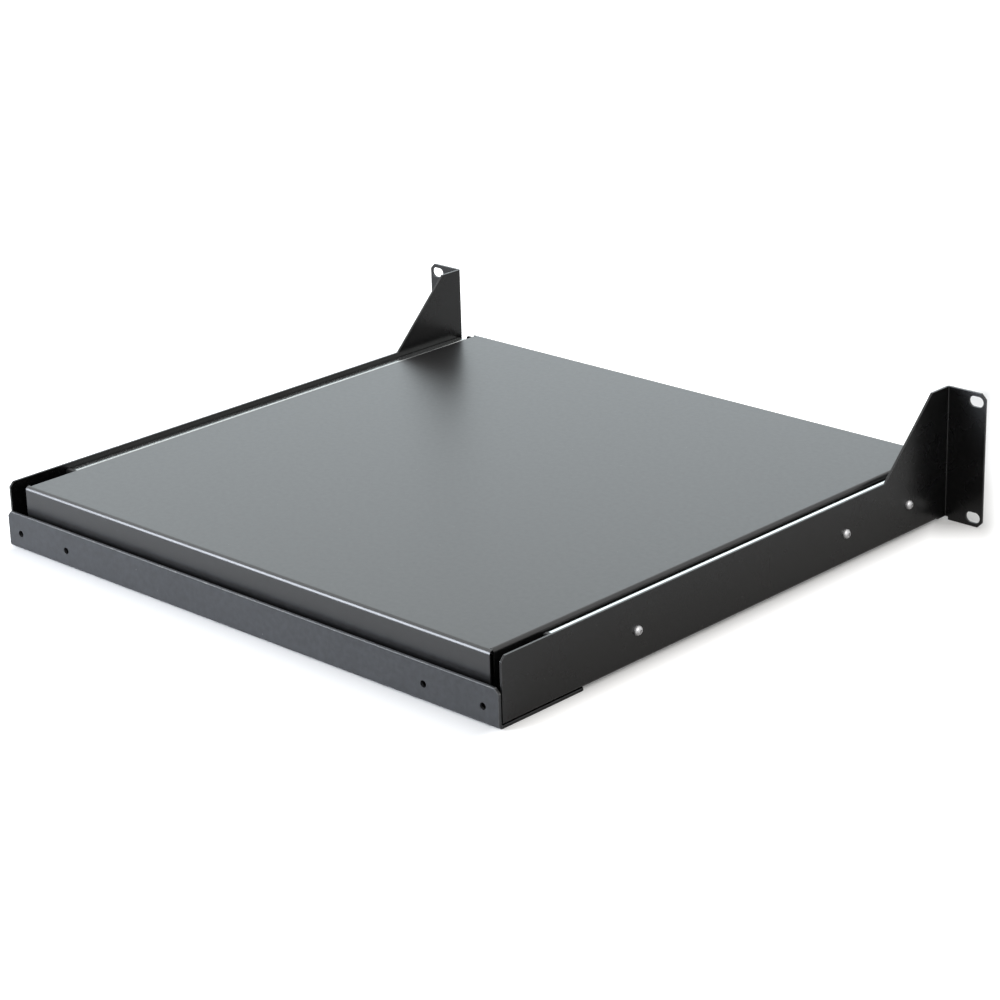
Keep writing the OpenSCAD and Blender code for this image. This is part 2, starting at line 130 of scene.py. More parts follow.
class Workpiece:
    """One mesh on the bench, shaped in edit mode with the operators that a hand would use."""

    def __init__(self, name: str) -> None:
        """Takes over the object that was just added.

        Args:
            name: the finished piece's name.
        """
        self.obj = bpy.context.object
        self.obj.name = name
        self.obj.data.name = name
        bpy.ops.object.transform_apply(location=True, rotation=True, scale=True)

    @classmethod
    def sheet(cls, name: str, facing: Facing, low: Vector, high: Vector) -> "Workpiece":
        """Starts a flat sheet between two corners.

        Args:
            name: the piece's name.
            facing: the axis that the sheet faces.
            low: its lowest corner.
            high: its highest corner.

        Returns:
            The sheet, in edit mode.
        """
        clear_bench()
        middle = (low + high) / 2
        bpy.ops.mesh.primitive_plane_add(size=1.0, location=middle, rotation=facing.value)
        piece = cls(name)
        size = [high[i] - low[i] or 1.0 for i in range(3)]
        piece.edit()
        piece.pick_all()
        bpy.ops.transform.resize(value=size, center_override=middle)
        return piece

    @classmethod
    def disc(
        cls, name: str, facing: Facing, middle: Vector, radius: float, sides: int = ROUND
    ) -> "Workpiece":
        """Starts a round disc.

        Args:
            name: the piece's name.
            facing: the axis that the disc faces.
            middle: its middle.
            radius: its radius in metres.
            sides: how many edges its rim has.

        Returns:
            The disc, in edit mode and selected all over.
        """
        clear_bench()
        bpy.ops.mesh.primitive_circle_add(
            vertices=sides, radius=radius, fill_type="NGON", location=middle, rotation=facing.value
        )
        piece = cls(name)
        piece.edit()
        piece.pick_all()
        return piece

    def leave(self) -> None:
        """Closes edit mode, with only this piece selected."""
        clear_bench()
        bpy.context.view_layer.objects.active = self.obj
        self.obj.select_set(True)

    def edit(self) -> None:
        """Opens the piece in edit mode."""
        self.leave()
        bpy.ops.object.mode_set(mode="EDIT")

    def pick_all(self) -> None:
        """Selects all the faces of the piece that is open in edit mode."""
        bpy.ops.mesh.select_mode(type="FACE")
        bpy.ops.mesh.select_all(action="SELECT")

    def pick(self, kind: Kind, test: Test) -> None:
        """Selects the parts of the mesh whose points all pass a test; to find none is an error.

        Args:
            kind: vertices, edges or faces.
            test: says of a point whether it lies where it should.
        """
        bpy.ops.mesh.select_mode(type=kind.name)
        bpy.ops.mesh.select_all(action="DESELECT")
        mesh = bmesh.from_edit_mesh(self.obj.data)
        found = False
        for part in getattr(mesh, kind.value):
            points = [part.co] if kind is Kind.VERT else [v.co for v in part.verts]
            if all(test(p) for p in points):
                part.select_set(True)
                found = True
        mesh.select_flush_mode()
        bmesh.update_edit_mesh(self.obj.data)
        if not found:
            raise ValueError(f"{self.obj.name}: nothing lies where it was looked for")

    def split(
        self, point: Vector, normal: Vector, test: Test | None = None, drop: bool = False
    ) -> None:
        """Cuts faces along a plane.

        Args:
            point: a point of the plane.
            normal: the plane's normal.
            test: picks the faces to cut; all of them where it is left out.
            drop: whether what lies on the normal's side goes away.
        """
        if test is None:
            self.pick_all()
        else:
            self.pick(Kind.FACE, test)
        bpy.ops.mesh.bisect(plane_co=point, plane_no=normal)
        if drop:
            inside = test or (lambda p: True)
            self.drop_faces(lambda p: inside(p) and (p - point).dot(normal) > -NEAR)

    def pull(self, offset: Vector) -> None:
        """Extrudes what is selected by an offset."""
        bpy.ops.mesh.extrude_region_move(TRANSFORM_OT_translate={"value": offset})

    def bend(self, centre: Vector, axis: Vector, turn: float, steps: int = 6) -> None:
        """Spins the selected edges round an axis to make a sheet's bend.

        Args:
            centre: a point of the bend's axis.
            axis: the direction of the axis.
            turn: the bend's angle in radians, right-handed about the axis.
            steps: how many strips the bend has.
        """
        bpy.ops.mesh.spin(steps=steps, angle=-turn, center=centre, axis=axis)

    def drop_faces(self, test: Test) -> None:
        """Deletes the faces whose points all pass a test."""
        self.pick(Kind.FACE, test)
        bpy.ops.mesh.delete(type="FACE")

    def round_corners(self, test: Test, radius: float, steps: int = 6) -> None:
        """Rounds flat corners.

        Args:
            test: picks the corners' vertices.
            radius: their radius in metres.
            steps: how many edges each round has.
        """
        self.pick(Kind.VERT, test)
        bpy.ops.mesh.bevel(offset=radius, segments=steps, profile=0.5, affect="VERTICES")

    def heal(self) -> None:
        """Merges doubles and turns all the faces one way, outwards where the mesh is closed."""
        self.pick_all()
        bpy.ops.mesh.remove_doubles(threshold=MERGE)
        bpy.ops.mesh.normals_make_consistent(inside=False)

    def face_out(self, facing: Facing, sign: int = 1) -> None:
        """Makes an open sheet's largest face look along an axis, and the others with it.

        Args:
            facing: the axis.
            sign: -1 where it should look against the axis.
        """
        self.heal()
        mesh = bmesh.from_edit_mesh(self.obj.data)
        largest = max(mesh.faces, key=lambda f: f.calc_area())
        if largest.normal.dot(facing.axis) * sign < 0:
            bpy.ops.mesh.flip_normals()

    def close_solid(self) -> None:
        """Heals a closed mesh and leaves it."""
        self.edit()
        self.heal()
        self.leave()

    def modify(self, kind: str, **settings: object) -> None:
        """Adds a modifier and applies it.

        Args:
            kind: Blender's name for the modifier's type.
            settings: the modifier's settings.
        """
        self.leave()
        bpy.ops.object.modifier_add(type=kind)
        modifier = self.obj.modifiers[-1]
        for key, value in settings.items():
            setattr(modifier, key, value)
        bpy.ops.object.modifier_apply(modifier=modifier.name)

    def thicken(self, gauge: float) -> None:
        """Gives an open sheet its thickness, inwards from the faces that were modelled."""
        self.modify(
            "SOLIDIFY", thickness=gauge, offset=-1.0, use_even_offset=True, use_quality_normals=True
        )

    def cut(self, cutter: "Workpiece") -> None:
        """Takes a cutter's shape out of the piece.

        Args:
            cutter: the cutter, which leaves the bench afterwards.
        """
        cutter.close_solid()
        self.modify("BOOLEAN", operation="DIFFERENCE", object=cutter.obj, solver="EXACT")
        cutter.leave()
        bpy.ops.object.delete()

    def drill(self, facing: Facing, middle: Vector, radius: float, gauge: float) -> None:
        """Cuts a round hole through a sheet.

        Args:
            facing: the axis that the hole runs along.
            middle: the hole's middle, in the middle of the sheet.
            radius: the hole's radius in millimetres.
            gauge: the sheet's thickness in millimetres.
        """
        way = facing.axis * (THROUGH * gauge * MM)
        cutter = Workpiece.disc("hole_cutter", facing, middle - way / 2, radius * MM)
        cutter.pull(way)
        self.cut(cutter)

    def cut_slot(self, middle: Vector, height: float, length: float, gauge: float) -> None:
        """Cuts a slot with round ends, running along X, through a sheet that faces along Y.

        Args:
            middle: the slot's middle, in the middle of the sheet.
            height: the slot's height in millimetres.
            length: its length from end to end.
            gauge: the sheet's thickness.
        """
        way = BACK * (THROUGH * gauge * MM)
        start = middle - way / 2
        cutter = Workpiece.disc("slot_cutter", Facing.Y, start, height / 2 * MM)
        bpy.ops.transform.rotate(value=math.pi / ROUND, orient_axis="Y", center_override=start)
        for sign in SIDES:
            cutter.pick(Kind.VERT, lambda p: (p.x - start.x) * sign > 0)
            bpy.ops.transform.translate(value=shift(sign * (length - height) / 2, 0, 0))
        cutter.pick_all()
        cutter.pull(way)
        self.cut(cutter)

    def mirrored(self, name: str) -> "Workpiece":
        """Copies the piece to the other side of the shelf.

        Args:
            name: the copy's name.

        Returns:
            The copy, with a mesh of its own.
        """
        self.leave()
        bpy.ops.object.duplicate(linked=False)
        copy = Workpiece(name)
        copy.edit()
        copy.pick_all()
        bpy.ops.transform.resize(value=(-1.0, 1.0, 1.0), center_override=(0.0, 0.0, 0.0))
        copy.close_solid()
        return copy

    def ease(self, width: float, steps: int = 2, coat: int = 1) -> None:
        """Takes the sharpness off every hard edge, and gives the eased edge a material.

        Args:
            width: the eased edge's width in metres.
            steps: how many strips it has.
            coat: which of the piece's materials it gets; 1 is the second.
        """
        self.modify(
            "BEVEL", width=width, segments=steps, limit_method="ANGLE", angle_limit=HARD_TURN,
            use_clamp_overlap=False, material=coat,
        )

    def recoat(self, coat: int, test: Test) -> None:
        """Gives the faces whose points all pass a test another of the piece's materials.

        Args:
            coat: which material they get.
            test: says of a point whether it lies where it should.
        """
        self.edit()
        self.pick(Kind.FACE, test)
        self.obj.active_material_index = coat
        bpy.ops.object.material_slot_assign()
        self.leave()

    def smooth(self) -> None:
        """Shades bends smoothly and keeps flat faces flat."""
        self.leave()
        bpy.ops.object.shade_smooth_by_angle(angle=SMOOTH_TURN)
        self.modify("WEIGHTED_NORMAL", mode="FACE_AREA", weight=100, keep_sharp=True)


def turned(
    name: str, facing: Facing, foot: Vector, profile: list[Pair], sides: int = ROUND, way: int = 1
) -> Workpiece:
    """A solid of revolution, drawn up ring by ring.

    Args:
        name: the piece's name.
        facing: the axis that it stands along.
        foot: the middle of its foot.
        profile: radius and height of each ring in millimetres, from the foot up.
        sides: how many edges a ring has.
        way: -1 where it stands against the axis.

    Returns:
        The solid, its top face still selected.
    """
    rings = [(radius * MM, height * way * MM) for radius, height in profile]
    piece = Workpiece.disc(name, facing, foot + facing.axis * rings[0][1], rings[0][0], sides)
    for (radius, height), (last_radius, last_height) in zip(rings[1:], rings):
        piece.pull(facing.axis * (height - last_height))
        share = (radius / last_radius,) * 3
        bpy.ops.transform.resize(value=share, center_override=foot + facing.axis * height)
    return piece


class Board:
    """A node tree, wired node by node."""

    def __init__(self, owner: bpy.types.Material | bpy.types.World) -> None:
        """Empties the tree of a material or a world.

        Args:
            owner: the material or world.
        """
        owner.use_nodes = True
        self.tree = owner.node_tree
        self.tree.nodes.clear()

    def add(self, kind: str, inputs: dict[str | int, object], **settings: object) -> bpy.types.Node:
        """Adds a node.

        Args:
            kind: the node's type, without the two words that all shader nodes' types share.
            inputs: for each input its value, or the socket that gives it.
            settings: the node's own settings.

        Returns:
            The node.
        """
        node = self.tree.nodes.new(f"ShaderNode{kind}")
        for key, value in settings.items():
            setattr(node, key, value)
        for key, value in inputs.items():
            if isinstance(value, Socket):
                self.tree.links.new(value, node.inputs[key])
            else:
                node.inputs[key].default_value = value
        return node


class Recipe(Board):
    """A finish's node tree: patterns on object coordinates, and the shader that they feed."""

    def __init__(self, name: str) -> None:
        """Starts the material.

        Args:
            name: the material's name.
        """
        self.material = bpy.data.materials.new(name)
        super().__init__(self.material)
        self.place = self.add("TexCoord", {}).outputs["Object"]

    def stretched(self, scale: Triple) -> Socket:
        """Object coordinates scaled along each axis."""
        return self.add("Mapping", {"Vector": self.place, "Scale": scale}).outputs["Vector"]

    def noise(
        self, scale: float, detail: float = 2.0, rough: float = 0.5, place: Socket | None = None
    ) -> Socket:
        """A noise.

        Args:
            scale: waves per metre.
            detail: how many finer waves ride on it.
            rough: how strong the finer waves are.
            place: the coordinates that it reads, where they aren't the object's own.

        Returns:
            Its value, about 0.5 on average.
        """
        inputs = {"Scale": scale, "Detail": detail, "Roughness": rough}
        return self.add("TexNoise", {"Vector": place or self.place, **inputs}).outputs["Fac"]

    def cells(self, scale: float) -> Socket:
        """Distance to the middle of the nearest of scattered cells, scale cells to the metre."""
        return self.add("TexVoronoi", {"Vector": self.place, "Scale": scale}).outputs["Distance"]

    def ranged(self, value: Socket, span: Pair, result: Pair = (0.0, 1.0)) -> Socket:
        """Maps a value from one range to another, and keeps it inside.

        Args:
            value: the value.
            span: where its range starts and ends.
            result: what it is at the start and at the end.

        Returns:
            The mapped value.
        """
        bounds = dict(zip(("From Min", "From Max", "To Min", "To Max"), (*span, *result)))
        return self.add("MapRange", {"Value": value, **bounds}).outputs["Result"]

    def blend(self, share: Socket, first: Triple | Socket, second: Triple) -> Socket:
        """Mixes two colours.

        Args:
            share: how much of the second colour shows.
            first: the first colour, or a socket that gives it.
            second: the second colour.

        Returns:
            The mixed colour.
        """
        start = (*first, 1.0) if isinstance(first, tuple) else first
        inputs = {"Factor": share, FIRST_COLOUR: start, SECOND_COLOUR: (*second, 1.0)}
        return self.add("Mix", inputs, data_type="RGBA").outputs[MIXED_COLOUR]

    def finish(
        self, colour: Socket, roughness: Socket, bumps: list[tuple[Socket, float]], **fixed: float
    ) -> Material:
        """Wires the shader.

        Args:
            colour: the base colour.
            roughness: the roughness.
            bumps: the height, as a share, and the depth in metres of each of the stacked bumps.
            fixed: the shader's values that are the same all over.

        Returns:
            The finished material.
        """
        inputs = {"Base Color": colour, "Roughness": roughness, **fixed}
        for height, depth in bumps:
            below = {"Normal": inputs["Normal"]} if "Normal" in inputs else {}
            bump = self.add("Bump", {"Height": height, "Distance": depth, "Strength": 1.0, **below})
            inputs["Normal"] = bump.outputs["Normal"]
        shader = self.add("BsdfPrincipled", inputs)
        self.add("OutputMaterial", {"Surface": shader.outputs["BSDF"]})
        return self.material


@dataclass(frozen=True)
class PowderCoat:
    """Satin black powder coat: orange peel, grains of dust and, on edges, places rubbed pale."""

    name: str
    dark: Triple = (0.0012, 0.0012, 0.0013)
    light: Triple = (0.0024, 0.0024, 0.0026)
    mottle_waves: float = 240.0
    mottle_span: Pair = (0.35, 0.65)
    roughness: Pair = (0.36, 0.38)
    cloud: float = 300.0
    cloud_span: Pair = (0.3, 0.7)
    peel: float = 0.006 * MM
    peel_waves: float = 420.0
    grain: float = 0.0025 * MM
    grain_waves: float = 1900.0
    dust: float = 0.12
    dust_waves: float = 70.0
    dust_size: Pair = (0.015, 0.03)
    dust_tint: Triple = (0.8, 0.8, 0.78)
    rubbed: float = 0.0
    rubbed_waves: float = 150.0
    rubbed_span: Pair = (0.57, 0.66)
    rubbed_tint: Triple = (0.60, 0.58, 0.52)
    ior: float = 1.5

    def material(self) -> Material:
        """Builds the finish."""
        recipe = Recipe(self.name)
        mottle = recipe.ranged(recipe.noise(self.mottle_waves, detail=3.0), self.mottle_span)
        colour = recipe.blend(mottle, self.dark, self.light)
        dust = recipe.ranged(recipe.cells(self.dust_waves), self.dust_size, (self.dust, 0.0))
        colour = recipe.blend(dust, colour, self.dust_tint)
        if self.rubbed:
            patches = recipe.noise(self.rubbed_waves, detail=4.0, rough=0.7)
            bare = recipe.ranged(patches, self.rubbed_span, (0.0, self.rubbed))
            colour = recipe.blend(bare, colour, self.rubbed_tint)
        smear = recipe.noise(self.cloud, detail=3.0, rough=0.6)
        roughness = recipe.ranged(smear, self.cloud_span, self.roughness)
        peel, grain = recipe.noise(self.peel_waves), recipe.noise(self.grain_waves)
        bumps = [(peel, self.peel), (grain, self.grain)]
        return recipe.finish(colour, roughness, bumps, IOR=self.ior)


@dataclass(frozen=True)
class ZincPlate:
    """Bright zinc plate on rolled steel, with fine streaks along the rolling direction."""

    name: str = "zinc_plate"
    pale: Triple = (0.68, 0.70, 0.69)
    dull: Triple = (0.56, 0.58, 0.57)
    cloud_waves: float = 60.0
    cloud_span: Pair = (0.4, 0.75)
    streak_waves: Triple = (1400.0, 22.0, 1400.0)
    streak_span: Pair = (0.25, 0.75)
    streak_depth: float = 0.003 * MM
    roughness: Pair = (0.13, 0.24)

    def material(self) -> Material:
        """Builds the finish."""
        recipe = Recipe(self.name)
        rolled = recipe.stretched(self.streak_waves)
        streak = recipe.noise(1.0, detail=3.0, rough=0.6, place=rolled)
        cloud = recipe.ranged(recipe.noise(self.cloud_waves, detail=3.0), self.cloud_span)
        colour = recipe.blend(cloud, self.pale, self.dull)
        roughness = recipe.ranged(streak, self.streak_span, self.roughness)
        return recipe.finish(colour, roughness, [(streak, self.streak_depth)], Metallic=1.0)


@dataclass(frozen=True)
class BareMetal:
    """Plain metal: steel or aluminium, pressed or polished, with faint cloudiness."""

    name: str
    pale: Triple
    dull: Triple
    roughness: Pair
    grain: float = 0.002 * MM
    grain_waves: float = 2600.0
    cloud_waves: float = 240.0
    colour_span: Pair = (0.35, 0.7)
    shine_span: Pair = (0.3, 0.7)

    def material(self) -> Material:
        """Builds the finish."""
        recipe = Recipe(self.name)
        cloud = recipe.noise(self.cloud_waves, detail=3.0)
        colour = recipe.blend(recipe.ranged(cloud, self.colour_span), self.pale, self.dull)
        roughness = recipe.ranged(cloud, self.shine_span, self.roughness)
        grain = recipe.noise(self.grain_waves)
        return recipe.finish(colour, roughness, [(grain, self.grain)], Metallic=1.0)


@dataclass(frozen=True)
class MouldedPlastic:
    """Matt black moulded plastic with a spark-eroded grain."""

    name: str = "moulded_plastic"
    dark: Triple = (0.012, 0.012, 0.012)
    light: Triple = (0.03, 0.03, 0.03)
    roughness: Pair = (0.5, 0.62)
    cloud_waves: float = 120.0
    grain: float = 0.01 * MM
    grain_waves: float = 2200.0
    noise_span: Pair = (0.3, 0.7)

    def material(self) -> Material:
        """Builds the finish."""
        recipe = Recipe(self.name)
        grain = recipe.noise(self.grain_waves, detail=3.0)
        colour = recipe.blend(recipe.ranged(grain, self.noise_span), self.dark, self.light)
        roughness = recipe.ranged(recipe.noise(self.cloud_waves), self.noise_span, self.roughness)
        return recipe.finish(colour, roughness, [(grain, self.grain)])


@dataclass(frozen=True)
class Coats:
    """The two materials of a coated sheet: its faces and its eased edges."""

    face: Material
    edge: Material

    def dress(self, piece: Workpiece) -> None:
        """Gives a piece its faces' and edges' coats."""
        piece.obj.data.materials.append(self.face)
        piece.obj.data.materials.append(self.edge)


@dataclass(frozen=True)
class Plan:
    """Sizes that several sub-assemblies share, in millimetres."""

    frame_w: float = 424.0
    frame_depth: float = 405.6
    foot: float = 2.0
    gauge: float = 1.5
    tray_gauge: float = 1.2
    slide_thick: float = 10.6
    slide_front: float = 4.2
    slide_axis: float = 21.3
    rivets: tuple[float, ...] = (35.6, 99.6, 291.6)
    rivet_hole_r: float = 1.65
    rivet_room: float = 5.0
    ties: tuple[float, ...] = (355.3, 389.3)
    tie_inset: float = 11.0
    tie_head_r: float = 3.25
    tie_shank_r: float = 2.05
    tie_sink: float = 0.9
    tie_over: float = 0.5
    eased: float = 0.16

    @property
    def plate(self) -> float:
        """Distance from the middle to a side plate's outer face."""
        return self.frame_w / 2

    @property
    def tray_side(self) -> float:
        """Distance from the middle to the tray's side."""
        return self.plate - self.gauge - self.slide_thick

    @property
    def rivet_places(self) -> list[float]:
        """The blind rivets' distances behind the uprights."""
        return [self.slide_front + s for s in self.rivets]


def hand_over(piece: Workpiece, body: str, node: str | None = None) -> None:
    """Tells the frame about a finished piece, and logs how it lies against its node.

    Args:
        piece: the finished piece.
        body: the body that it rides on.
        node: the CAD node that it stands for, if any.
    """
    piece.leave()
    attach(piece.obj, body)
    size = len(piece.obj.data.polygons)
    if node is None:
        LOG.info("%s: %d faces, rides on %s", piece.obj.name, size, body)
        return
    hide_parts(node)
    low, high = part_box(node)
    points = [v.co for v in piece.obj.data.vertices]
    gaps = [min(p[i] for p in points) - low[i] for i in range(3)]
    gaps += [max(p[i] for p in points) - high[i] for i in range(3)]
    off = max(abs(gap) for gap in gaps) / MM
    LOG.info("%s: %d faces, stands for %s, box off by %.3f mm", piece.obj.name, size, node, off)


def drill_row(piece: Workpiece, plan: Plan, x: float, gauge: float) -> None:
    """Drills the blind rivets' holes through an upright sheet.

    Args:
        piece: the piece that they pass.
        plan: the shared sizes.
        x: how far the sheet's own middle lies from the middle of the shelf.
        gauge: the sheet's thickness.
    """
    for y in plan.rivet_places:
        piece.drill(Facing.X, at(x, y, plan.slide_axis), plan.rivet_hole_r, gauge)


def cut_ties(
    piece: Workpiece, plan: Plan, sides: tuple[int, ...], low: float, gauge: float, upward: bool
) -> None:
    """Cuts the countersunk holes of the flush rivets that tie crossbar and brackets.

    Args:
        piece: the piece that they pass.
        plan: the shared sizes.
        sides: 1 for the right-hand side, -1 for the left-hand side.
        low: the height of the sheet's underside.
        gauge: the sheet's thickness.
        upward: whether the countersink opens upwards.
    """
    head, shank, sink, over = plan.tie_head_r, plan.tie_shank_r, plan.tie_sink, plan.tie_over
    if upward:
        profile = [(shank, -over), (shank, gauge - sink), (head, gauge), (head, gauge + over)]
    else:
        profile = [(head, -over), (head, 0.0), (shank, sink), (shank, gauge + over)]
    for side in sides:
        for y in plan.ties:
            foot = at(side * (plan.plate - plan.tie_inset), y, low)
            piece.cut(turned("tie_cutter", Facing.Z, foot, profile))


@dataclass(frozen=True)
class SideBrackets:
    """The two side brackets: rack ear, gusset, side plate and foot flange, each one bent sheet."""

    plan: Plan
    coats: Coats
    ear_w: float = 27.5
    ear_chamfer: float = 3.5
    slot_edge: float = 6.95
    slot_rise: float = 38.1
    slot_h: float = 6.8
    slot_len: float = 10.5
    relief: float = 2.0
    bend_r: float = 0.6
    low_top: float = 42.0
    gusset_top: float = 17.2
    gusset_foot: float = 64.3
    side_chamfer: float = 3.0
    flange_w: float = 22.0
    flange_start: float = 8.0

    @property
    def outer_r(self) -> float:
        """Outside radius of the foot flange's bend."""
        return self.bend_r + self.plan.gauge

    @property
    def ear_x(self) -> float:
        """Distance from the middle to an ear's outer edge."""
        return self.plan.plate + self.ear_w

    def build(self) -> None:
        """Models the right bracket, copies it to the left and hands both over."""
        right = self.model()
        left = right.mirrored("left_bracket_sheet")
        for side, piece in ((Side.RIGHT, right), (Side.LEFT, left)):
            self.coats.dress(piece)
            piece.ease(self.plan.eased * MM)
            piece.smooth()
            hand_over(piece, "frame", f"{side.word}_side_bracket")

    def model(self) -> Workpiece:
        """Bends, trims and pierces the right bracket's sheet.

        Returns:
            The sheet, with its thickness and holes but with sharp edges.
        """
        x, bend_z = self.plan.plate, self.plan.foot + self.outer_r
        low, high = at(x, self.bend_r, bend_z), at(x, self.plan.frame_depth, EAR_H)
        piece = Workpiece.sheet("right_bracket_sheet", Facing.X, low, high)
        self.trim_outline(piece)
        self.turn_foot(piece)
        self.turn_ear(piece)
        piece.face_out(Facing.X)
        piece.thicken(self.plan.gauge * MM)
        self.pierce(piece)
        return piece

    def trim_outline(self, piece: Workpiece) -> None:
        """Cuts the gusset's slope and the rear corner out of the flat plate.

        Args:
            piece: the sheet.
        """
        x, depth = self.plan.plate, self.plan.frame_depth
        knee = at(x, self.gusset_foot, self.low_top)
        peak = at(x, self.gusset_top, EAR_H)
        piece.split(knee, BACK)
        piece.split(knee, UP, lambda p: p.y > knee.y - NEAR, drop=True)
        run = peak - knee
        slope = Vector((0, run.z, -run.y))
        piece.split(knee, slope, lambda p: p.y < knee.y + NEAR, drop=True)
        corner = at(x, depth - self.side_chamfer, self.low_top)
        piece.split(corner, BACK + UP, lambda p: p.y > knee.y - NEAR, drop=True)

    def turn_foot(self, piece: Workpiece) -> None:
        """Bends the foot flange inwards and runs the plate down to its level before it.

        Args:
            piece: the sheet.
        """
        x, outer_r = self.plan.plate, self.outer_r
        line = at(x, self.flange_start, self.plan.foot + outer_r)
        knee_y = at(0, self.gusset_foot, 0).y
        piece.split(line, BACK, lambda p: p.y < knee_y + NEAR)
        piece.pick(Kind.EDGE, lambda p: abs(p.z - line.z) < NEAR and p.y > line.y - NEAR)
        piece.bend(line - shift(outer_r, self.flange_start, 0), BACK, RIGHT_ANGLE)
        piece.pull(shift(outer_r - self.flange_w, 0, 0))
        piece.pick(
            Kind.EDGE,
            lambda p: abs(p.z - line.z) < NEAR and p.y < line.y + NEAR and abs(p.x - line.x) < NEAR,
        )
        piece.pull(shift(0, 0, -outer_r))

    def turn_ear(self, piece: Workpiece) -> None:
        """Bends the ear outwards, relieves its foot and cuts its corners.

        Args:
            piece: the sheet.
        """
        x, foot = self.plan.plate, self.plan.foot
        front = at(0, self.bend_r, 0).y
        piece.pick(Kind.EDGE, lambda p: abs(p.y - front) < NEAR)
        piece.bend(at(x + self.bend_r, self.bend_r, 0), UP, RIGHT_ANGLE)
        piece.pull(shift(self.relief - self.bend_r, 0, 0))
        piece.pull(shift(self.ear_w - self.relief, 0, 0))
        step = at(x + self.relief, 0, foot)
        piece.pick(Kind.EDGE, lambda p: p.x > step.x - NEAR and abs(p.z - step.z) < NEAR)
        piece.pull(shift(0, 0, -foot))
        corner_x = self.ear_x - self.ear_chamfer
        piece.split(at(corner_x, 0, EAR_H), ACROSS + UP, drop=True)
        piece.split(at(corner_x, 0, 0), ACROSS - UP, drop=True)

    def pierce(self, piece: Workpiece) -> None:
        """Cuts the rack slots and the rivets' holes.

        Args:
            piece: the bracket, with its thickness.
        """
        plan = self.plan
        for rise in (-self.slot_rise, self.slot_rise):
            middle = at(self.ear_x - self.slot_edge, -plan.gauge / 2, EAR_H / 2 + rise)
            piece.cut_slot(middle, self.slot_h, self.slot_len, plan.gauge)
        drill_row(piece, plan, plan.plate - plan.gauge / 2, plan.gauge)
        cut_ties(piece, plan, (1,), plan.foot, plan.gauge, upward=True)


@dataclass(frozen=True)
class Crossbar:
    """The rear crossbar: an upright face with four holes and a deep bottom flange, one sheet."""

    plan: Plan
    coats: Coats
    flange_coat: Material
    gauge: float = 2.0
    rear: float = 408.5
    height: float = 24.0
    flange: float = 68.0
    bend_r: float = 0.8
    chamfer: float = 3.0
    corner_r: float = 1.5
    eased: float = 0.4
    hole_r: float = 2.15
    hole_rise: float = 10.9
    hole_insets: tuple[float, ...] = (12.0, 57.0)

    def build(self) -> None:
        """Bends, trims and pierces the crossbar's sheet and hands it over."""
        x, outer_r = self.plan.plate, self.bend_r + self.gauge
        low, high = at(-x, self.rear, outer_r), at(x, self.rear, self.height)
        piece = Workpiece.sheet("crossbar_sheet", Facing.Y, low, high)
        for side in SIDES:
            corner = at(side * (x - self.chamfer), self.rear, self.height)
            piece.split(corner, ACROSS * side + UP, drop=True)
        piece.pick(Kind.EDGE, lambda p: abs(p.z - low.z) < NEAR)
        piece.bend(at(0, self.rear - outer_r, outer_r), ACROSS, -RIGHT_ANGLE)
        piece.pull(shift(0, outer_r - self.flange, 0))
        edge = at(0, self.rear - self.flange, 0).y
        piece.round_corners(lambda p: abs(p.y - edge) < NEAR, self.corner_r * MM)
        piece.face_out(Facing.Z, -1)
        piece.thicken(self.gauge * MM)
        self.coats.dress(piece)
        piece.ease(self.eased * MM)
        # Painted shade: the bottom flange, lying on the floor, gets the darker bracket coat instead
        # of the crossbar's own coat, so that it reads black as in its contact shadow.
        piece.obj.data.materials.append(self.flange_coat)
        bend_start = at(0, self.rear - outer_r, 0).y
        piece.recoat(2, lambda p: p.y < bend_start + NEAR)
        for inset in self.hole_insets:
            for side in SIDES:
                middle = at(side * (x - inset), self.rear - self.gauge / 2, self.hole_rise)
                piece.drill(Facing.Y, middle, self.hole_r, self.gauge)
        cut_ties(piece, self.plan, SIDES, 0.0, self.gauge, upward=False)
        piece.ease(self.plan.eased * MM, coat=0)
        piece.smooth()
        hand_over(piece, "frame", "rear_crossbar")


